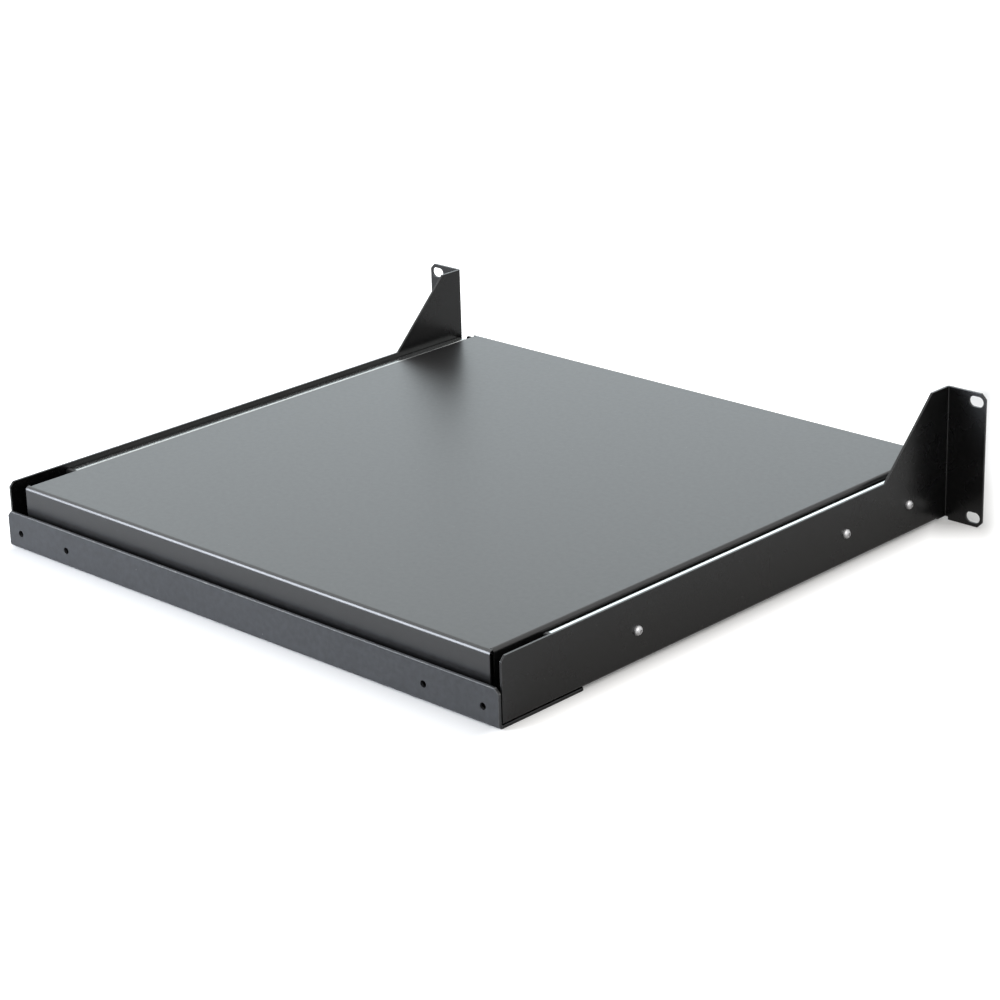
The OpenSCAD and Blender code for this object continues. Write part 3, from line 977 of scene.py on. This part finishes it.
@dataclass(frozen=True)
class Tray:
    """The sliding tray: a top with four flanges turned down, the front one covering the slides."""

    plan: Plan
    coats: Coats
    top: float = 40.7
    height: float = 36.0
    front: float = -4.4
    rear: float = 402.0
    bend_r: float = 1.3
    bend_steps: int = 8
    corner_gap: float = 1.0
    wing_gap: float = 1.5
    wing_r: float = 2.0
    relief_w: float = 2.5
    relief_h: float = 2.0

    @property
    def outer_r(self) -> float:
        """Outside radius of the tray's bends."""
        return self.bend_r + self.plan.tray_gauge

    @property
    def bend_lines(self) -> tuple[tuple[float, int], tuple[float, int]]:
        """Where the front and the rear bend start, each with the way back to the middle."""
        return (self.front + self.outer_r, 1), (self.rear - self.outer_r, -1)

    @property
    def drop(self) -> Vector:
        """How far the flanges reach down from their bends."""
        return shift(0, 0, self.outer_r - self.height)

    def build(self) -> None:
        """Bends, trims and pierces the tray's sheet and hands it over."""
        x, r, gauge = self.plan.tray_side, self.outer_r, self.plan.tray_gauge
        low, high = at(r - x, self.front + r, self.top), at(x - r, self.rear - r, self.top)
        piece = Workpiece.sheet("tray_sheet", Facing.Z, low, high)
        self.widen_ends(piece)
        self.turn_sides(piece)
        self.turn_ends(piece)
        self.shape_wings(piece)
        piece.face_out(Facing.Z)
        piece.thicken(gauge * MM)
        for side in SIDES:
            drill_row(piece, self.plan, side * (x - gauge / 2), gauge)
        self.coats.dress(piece)
        piece.ease(self.plan.eased * MM)
        piece.smooth()
        hand_over(piece, "tray", "tray_pan")

    def widen_ends(self, piece: Workpiece) -> None:
        """Runs a narrow strip before each end's bend out to the tray's full width.

        Args:
            piece: the sheet.
        """
        x, r, strip = self.plan.tray_side, self.outer_r, self.corner_gap / 2
        for line, inward in self.bend_lines:
            for count in (1, 2):
                piece.split(at(0, line + inward * count * strip, self.top), BACK)
        reach = strip / 2 * MM + NEAR
        for line, inward in self.bend_lines:
            middle = at(0, line + inward * strip / 2, 0).y
            for side in SIDES:
                edge = side * (x - r) * MM
                piece.pick(
                    Kind.EDGE, lambda p: abs(p.x - edge) < NEAR and abs(p.y - middle) < reach
                )
                piece.pull(shift(side * r, 0, 0))

    def turn_sides(self, piece: Workpiece) -> None:
        """Bends the two side flanges down, clear of the bends at the ends.

        Args:
            piece: the sheet.
        """
        x, r = self.plan.tray_side, self.outer_r
        start = at(0, self.front + r + self.corner_gap, 0).y
        end = at(0, self.rear - r - self.corner_gap, 0).y
        for side in SIDES:
            edge = side * (x - r) * MM
            piece.pick(
                Kind.EDGE, lambda p: abs(p.x - edge) < NEAR and start - NEAR < p.y < end + NEAR
            )
            centre = at(side * (x - r), 0, self.top - r)
            piece.bend(centre, BACK, side * RIGHT_ANGLE, self.bend_steps)
            piece.pull(self.drop)

    def turn_ends(self, piece: Workpiece) -> None:
        """Bends the front and the rear flange down over the tray's full width.

        Args:
            piece: the sheet.
        """
        for line, inward in self.bend_lines:
            edge = at(0, line, self.top)
            piece.pick(Kind.EDGE, lambda p: abs(p.y - edge.y) < NEAR and abs(p.z - edge.z) < NEAR)
            centre = at(0, line, self.top - self.outer_r)
            piece.bend(centre, ACROSS, inward * RIGHT_ANGLE, self.bend_steps)
            piece.pull(self.drop)

    def shape_wings(self, piece: Workpiece) -> None:
        """Widens the front flange past the sides, relieves its corners and rounds its ends.

        Args:
            piece: the sheet.
        """
        x = self.plan.tray_side
        wing_x = self.plan.plate - self.plan.gauge - self.wing_gap
        crest = at(0, self.front, self.top - self.outer_r)
        ledge = crest - shift(0, 0, self.relief_h)
        near, far = x * MM - NEAR, (x + self.relief_w) * MM + NEAR

        def in_face(p: Vector) -> bool:
            """Whether a point lies in the front flange."""
            return abs(p.y - crest.y) < NEAR

        piece.split(ledge, UP, in_face)
        for side in SIDES:
            end, tip = side * x * MM, side * wing_x * MM
            piece.pick(
                Kind.EDGE, lambda p: abs(p.x - end) < NEAR and in_face(p) and p.z < crest.z + NEAR
            )
            for step in (self.relief_w, wing_x - x - self.relief_w):
                piece.pull(shift(side * step, 0, 0))
            piece.drop_faces(
                lambda p: in_face(p) and p.z > ledge.z - NEAR and near < side * p.x < far
            )
            piece.round_corners(
                lambda p: abs(p.x - tip) < NEAR and abs(p.z - crest.z) < NEAR, self.wing_r * MM
            )


def set_in_row(first: Workpiece, plan: Plan) -> None:
    """Copies the rivet or stem that was just modelled to the other places of its row.

    Args:
        first: the one at the row's first place; it takes the copies in.
        plan: the shared sizes.
    """
    first.close_solid()
    start = at(0, plan.rivet_places[0], 0).y
    for y in plan.rivet_places[1:]:
        first.edit()
        first.pick(Kind.FACE, lambda p: abs(p.y - start) < plan.rivet_room * MM)
        offset = shift(0, y - plan.rivet_places[0], 0)
        bpy.ops.mesh.duplicate_move(TRANSFORM_OT_translate={"value": offset})
        first.leave()


@dataclass(frozen=True)
class BracketRivets:
    """The round-headed blind rivets that hold the slides to the side plates."""

    plan: Plan
    metal: Material
    head_r: float = 2.95
    rim: float = 0.6
    head_h: float = 2.7
    crown_steps: int = 8
    lip: float = 0.1
    lip_drop: float = 0.03
    recess_r: float = 0.95
    recess: float = 0.9
    shank_r: float = 1.6
    grip: float = 2.7
    blind_r: float = 2.4
    blind_h: float = 1.8
    sides: int = 40

    @property
    def recess_floor(self) -> float:
        """Height of the recess's floor above the plate."""
        return self.head_h - self.recess

    @property
    def profile(self) -> list[Pair]:
        """Radius and height of a rivet's rings, from the blind end to the recess's floor."""
        tail = -self.grip - self.blind_h
        neck = -self.grip - (self.blind_r - self.shank_r)
        rings = [
            (self.shank_r, tail), (self.blind_r, neck), (self.blind_r, -self.grip),
            (self.shank_r, -self.grip), (self.shank_r, 0.0), (self.head_r, 0.0),
            (self.head_r, self.rim),
        ]
        crown = math.acos((self.recess_r + self.lip) / self.head_r)
        rise = (self.head_h - self.rim) / math.sin(crown)
        for step in range(1, self.crown_steps + 1):
            turn = crown * step / self.crown_steps
            rings.append((self.head_r * math.cos(turn), self.rim + rise * math.sin(turn)))
        rings += [(self.recess_r, self.head_h - self.lip_drop), (self.recess_r, self.recess_floor)]
        return rings

    def build(self) -> None:
        """Models a row of three for each side and hands both over."""
        for side in Side:
            name = f"{side.word}_round_head_rivets"
            foot = at(side.value * self.plan.plate, self.plan.rivet_places[0], self.plan.slide_axis)
            row = turned(name, Facing.X, foot, self.profile, self.sides, side.value)
            set_in_row(row, self.plan)
            row.obj.data.materials.append(self.metal)
            row.smooth()
            hand_over(row, "frame", f"{side.word}_bracket_rivets")


@dataclass(frozen=True)
class RivetStems:
    """The broken steel stems that stay in the recesses of the blind rivets' heads."""

    plan: Plan
    rivets: BracketRivets
    metal: Material
    radius: float = 0.86
    tray_floor: float = 0.2
    shoulder: float = 0.32
    eased: float = 0.1
    slope: float = 0.01
    nib: float = 0.48
    nib_r: float = 0.42
    nib_taper: float = 0.9
    sides: int = 20

    def build(self) -> None:
        """Models four rows of three stems and hands them over."""
        for side in Side:
            out = side.value
            outer = out * (self.plan.plate + self.rivets.recess_floor)
            row = self.row(f"{side.word}_bracket_rivet_stems", outer, out)
            hand_over(row, "frame")
            inner = out * (self.plan.tray_side - self.plan.tray_gauge - self.tray_floor)
            row = self.row(f"{side.word}_tray_rivet_stems", inner, -out)
            hand_over(row, "tray")

    def row(self, name: str, x: float, out: int) -> Workpiece:
        """Sets three stems in a row.

        Args:
            name: the row's name.
            x: where the recesses' floors lie, from the middle of the shelf.
            out: 1 where the heads look along +X, -1 where they look along -X.

        Returns:
            The row as one piece.
        """
        profile = [
            (self.radius, 0.0), (self.radius, self.shoulder - self.eased),
            (self.radius - self.eased, self.shoulder), (self.nib_r, self.shoulder + self.slope),
            (self.nib_r * self.nib_taper, self.nib),
        ]
        foot = at(x, self.plan.rivet_places[0], self.plan.slide_axis)
        first = turned(name, Facing.X, foot, profile, self.sides, out)
        set_in_row(first, self.plan)
        first.obj.data.materials.append(self.metal)
        first.smooth()
        return first


@dataclass(frozen=True)
class NodeFinishes:
    """The finishes of the CAD nodes that stay: slides, cages, balls, rivets and bumpers."""

    zinc: Material
    cage: Material
    ball: Material
    rivet: Material
    plastic: Material
    coat: Material

    def dress(self) -> None:
        """Assigns each node's material by the words in its name; the rest get the coat."""
        table = {
            "member": self.zinc, "cage": self.cage, "balls": self.ball, "bumper": self.plastic,
            "bracket_rivets": self.rivet, "tray_rivets": self.rivet,
        }
        for name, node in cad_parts.items():
            fitting = (material for word, material in table.items() if name.endswith(word))
            chosen = next(fitting, self.coat)
            if not node.data.materials:
                node.data.materials.append(chosen)
            for place in node.material_slots:
                place.material = chosen
            LOG.info("%s: finished in %s", name, chosen.name)


@dataclass(frozen=True)
class Lamp:
    """A soft lamp: where it hangs and points, width and height in metres, radiance and tint."""

    name: str
    place: Triple
    target: Triple
    width: float
    height: float
    level: float
    tint: Triple

    def hang(self) -> None:
        """Adds the lamp."""
        clear_bench()
        bpy.ops.object.light_add(type="AREA", location=self.place)
        lamp = bpy.context.object
        lamp.name = self.name
        lamp.data.shape = "RECTANGLE"
        lamp.data.size = self.width
        lamp.data.size_y = self.height
        lamp.data.energy = self.level * math.pi * self.width * self.height
        lamp.data.color = self.tint
        lamp.visible_camera = False
        lamp.rotation_mode = "QUATERNION"
        aim = Vector(self.target) - Vector(self.place)
        lamp.rotation_quaternion = aim.to_track_quat("-Z", "Y")


@dataclass(frozen=True)
class Shade:
    """A soft-edged shadow on the floor, round a patch that is turned about the upright axis.

    Middle and half sides are in metres and the turn is in degrees. The slope says how fast
    white comes back along each axis, per metre.
    """

    middle: Triple
    half: Triple
    slope: Triple
    turn: float = 0.0

    def wire(self, board: Board, place: Socket) -> Socket:
        """Makes a value that is nought on the patch and grows with the distance from it.

        Args:
            board: the floor's nodes.
            place: where the shaded point is.

        Returns:
            The value.
        """
        if self.turn:
            inputs = {"Vector": place, "Rotation": (0.0, 0.0, math.radians(self.turn))}
            place = board.add("Mapping", inputs).outputs["Vector"]
        steps = (
            ("SUBTRACT", {1: self.middle}), ("ABSOLUTE", {}), ("SUBTRACT", {1: self.half}),
            ("MAXIMUM", {1: (0.0, 0.0, 0.0)}), ("MULTIPLY", {1: self.slope}),
        )
        for operation, operand in steps:
            step = board.add("VectorMath", {0: place, **operand}, operation=operation)
            place = step.outputs["Vector"]
        return board.add("VectorMath", {0: place}, operation="LENGTH").outputs["Value"]


@dataclass(frozen=True)
class Studio:
    """A white sweep with soft light: floor, world and lamps."""

    floor_reach: float = 6.0
    floor_drop: float = 0.05
    floor_tone: Triple = (0.785, 0.785, 0.78)
    under_shelf: Shade = Shade((0.0, 0.2, 0.0), (0.204, 0.206, 1.0), (32.0, 10.0, 0.0))
    past_ear: Shade = Shade((0.003, -0.185, 0.0), (0.128, 0.014, 1.0), (17.0, 45.0, 0.0), 56.2)
    ear_base: float = 0.15
    glow_limit: float = 0.9
    world_level: float = 0.32
    cool: Triple = (0.94, 1.0, 1.03)
    cold: Triple = (0.93, 0.99, 1.1)
    chill: Triple = (0.83, 1.0, 1.07)
    warm: Triple = (1.0, 0.97, 0.93)

    def build(self) -> None:
        """Lays the floor, sets the world and hangs the lamps."""
        self.lay_floor()
        self.set_world()
        lamps = (
            Lamp("window", (1.05, 1.7, 0.5), (0.0, 0.4, 0.4), 1.2, 1.2, 13.5, self.cold),
            Lamp("far_screen", (1.8, -1.45, 0.72), (0.0, 0.2, 0.2), 2.4, 1.3, 0.94, self.chill),
            Lamp("side_screen", (1.6, 0.35, 1.5), (0.0, 0.3, 0.0), 1.4, 1.4, 0.8, self.cool),
            Lamp("near_screen", (-1.9, 1.3, 1.5), (-0.2, 0.3, 0.0), 1.6, 1.6, 2.6, self.warm),
            Lamp("ceiling", (-0.2, 0.2, 2.4), (-0.2, 0.2, 0.0), 2.2, 2.2, 0.75, self.warm),
        )
        for lamp in lamps:
            lamp.hang()

    def lay_floor(self) -> None:
        """Makes the floor: white to the camera but for two soft shadows, and clear from below."""
        clear_bench()
        drop = at(0, 0, -self.floor_drop)
        bpy.ops.mesh.primitive_plane_add(size=2 * self.floor_reach, location=drop)
        floor = Workpiece("floor")
        floor.leave()
        material = bpy.data.materials.new("studio_floor")
        board = Board(material)
        place = board.add("TexCoord", {}).outputs["Object"]
        paint = board.add("BsdfDiffuse", {"Color": (*self.floor_tone, 1.0)}).outputs[0]
        shelf, ear = self.under_shelf.wire(board, place), self.past_ear.wire(board, place)
        ear = board.add("Math", {0: ear, 1: self.ear_base}, operation="ADD").outputs[0]
        level = board.add("Math", {0: shelf, 1: ear}, operation="MINIMUM").outputs[0]
        level = board.add("Math", {0: level, 1: self.glow_limit}, operation="MINIMUM").outputs[0]
        glow = board.add("Emission", {"Strength": level}).outputs[0]
        both = board.add("AddShader", {0: paint, 1: glow}).outputs[0]
        seen = board.add("LightPath", {}).outputs["Is Camera Ray"]
        shown = board.add("MixShader", {0: seen, 1: paint, 2: both}).outputs[0]
        below = board.add("NewGeometry", {}).outputs["Backfacing"]
        clear = board.add("BsdfTransparent", {}).outputs[0]
        surface = board.add("MixShader", {0: below, 1: shown, 2: clear}).outputs[0]
        board.add("OutputMaterial", {"Surface": surface})
        floor.obj.data.materials.append(material)

    def set_world(self) -> None:
        """Makes the surroundings white to the camera and in reflections, and softer as a light."""
        world = bpy.data.worlds.new("studio")
        bpy.context.scene.world = world
        board = Board(world)
        rays = board.add("LightPath", {}).outputs
        seen = rays["Is Camera Ray"]
        for ray in ("Is Glossy Ray", "Is Transmission Ray"):
            seen = board.add("Math", {0: seen, 1: rays[ray]}, operation="MAXIMUM").outputs[0]
        inputs = {"Value": seen, "To Min": self.world_level, "To Max": 1.0}
        level = board.add("MapRange", inputs).outputs["Result"]
        light = board.add("Background", {"Color": WHITE, "Strength": level}).outputs[0]
        board.add("OutputWorld", {"Surface": light})


@dataclass(frozen=True)
class Viewpoint:
    """The photograph's camera, solved from the part's own sizes.

    Angles are in degrees, target, distance and sensor in millimetres, and the clip in metres.
    """

    azimuth: float = 223.9797
    elevation: float = 20.5537
    roll: float = -1.6704
    target: Triple = (-8.015, 191.614, 20.0)
    distance: float = 1801.197
    focal_pixels: float = 2865.09
    frame_pixels: float = 1000.0
    sensor: float = 36.0
    clip: Pair = (0.05, 60.0)

    def build(self) -> None:
        """Adds the camera and makes it the scene's own."""
        a, e, r = (math.radians(v) for v in (self.azimuth, self.elevation, self.roll))
        back = Vector((math.sin(a) * math.cos(e), -math.cos(a) * math.cos(e), math.sin(e)))
        level = UP.cross(back).normalized()
        upright = back.cross(level)
        across = level * math.cos(r) + upright * math.sin(r)
        up = upright * math.cos(r) - level * math.sin(r)
        place = at(*self.target) + back * self.distance * MM
        clear_bench()
        bpy.ops.object.camera_add()
        camera = bpy.context.object
        camera.name = "camera"
        camera.data.sensor_width = self.sensor
        camera.data.lens = self.focal_pixels / self.frame_pixels * self.sensor
        camera.data.clip_start, camera.data.clip_end = self.clip
        turn = Matrix((across, up, back)).transposed().to_4x4()
        camera.matrix_world = Matrix.Translation(place) @ turn
        bpy.context.scene.camera = camera


def main() -> None:
    """Builds the shelf's classes in order."""
    logging.basicConfig(level=logging.INFO, format="%(message)s")
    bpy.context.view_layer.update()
    bpy.context.scene.view_settings.view_transform = "Standard"
    Viewpoint().build()
    Studio().build()
    plan = Plan()
    bracket_coat = PowderCoat(
        "bracket_coat_black", roughness=(0.25, 0.29), cloud=35.0, peel=0.002 * MM,
        grain=0.0008 * MM,
    ).material()
    # Painted light: the crossbar's coat is a lighter, slightly blue copy of the black powder coat,
    # standing in for the light on its rear face.
    crossbar_coat = PowderCoat(
        "crossbar_coat_black", dark=(0.013, 0.014, 0.016), light=(0.021, 0.023, 0.026),
        roughness=(0.39, 0.46), cloud=30.0,
    ).material()
    bracket_edge = PowderCoat(
        "bracket_coat_edge", dark=(0.02, 0.02, 0.02), light=(0.04, 0.04, 0.04),
        roughness=(0.3, 0.36),
    ).material()
    crossbar_edge = PowderCoat(
        "crossbar_coat_edge", dark=(0.06, 0.06, 0.06), light=(0.11, 0.11, 0.11),
        roughness=(0.3, 0.38), rubbed=0.45,
    ).material()
    tray_coat = PowderCoat(
        "tray_coat_black", roughness=(0.32, 0.36), peel=0.01 * MM, ior=1.66
    ).material()
    tray_edge = PowderCoat(
        "tray_coat_edge", dark=(0.008, 0.008, 0.008), light=(0.014, 0.014, 0.014)
    ).material()
    zinc = ZincPlate().material()
    cage = BareMetal(
        "pressed_steel", pale=(0.62, 0.63, 0.63), dull=(0.46, 0.46, 0.45), roughness=(0.3, 0.42)
    ).material()
    ball = BareMetal(
        "polished_steel", pale=(0.80, 0.80, 0.82), dull=(0.72, 0.72, 0.74),
        roughness=(0.06, 0.12), grain=0.0004 * MM,
    ).material()
    rivet = BareMetal(
        "rivet_alloy", pale=(0.66, 0.66, 0.67), dull=(0.52, 0.52, 0.53), roughness=(0.42, 0.52)
    ).material()
    stem = BareMetal(
        "stem_steel", pale=(0.42, 0.41, 0.40), dull=(0.26, 0.25, 0.24), roughness=(0.38, 0.55),
        grain=0.006 * MM,
    ).material()
    plastic = MouldedPlastic().material()
    NodeFinishes(zinc, cage, ball, rivet, plastic, bracket_coat).dress()
    SideBrackets(plan, Coats(bracket_coat, bracket_edge)).build()
    # The bracket coat given to the crossbar's bottom flange is painted shade.
    Crossbar(plan, Coats(crossbar_coat, crossbar_edge), bracket_coat).build()
    Tray(plan, Coats(tray_coat, tray_edge)).build()
    rivets = BracketRivets(plan, rivet)
    rivets.build()
    RivetStems(plan, rivets, stem).build()
    clear_bench()


if __name__ == "__main__":
    main()
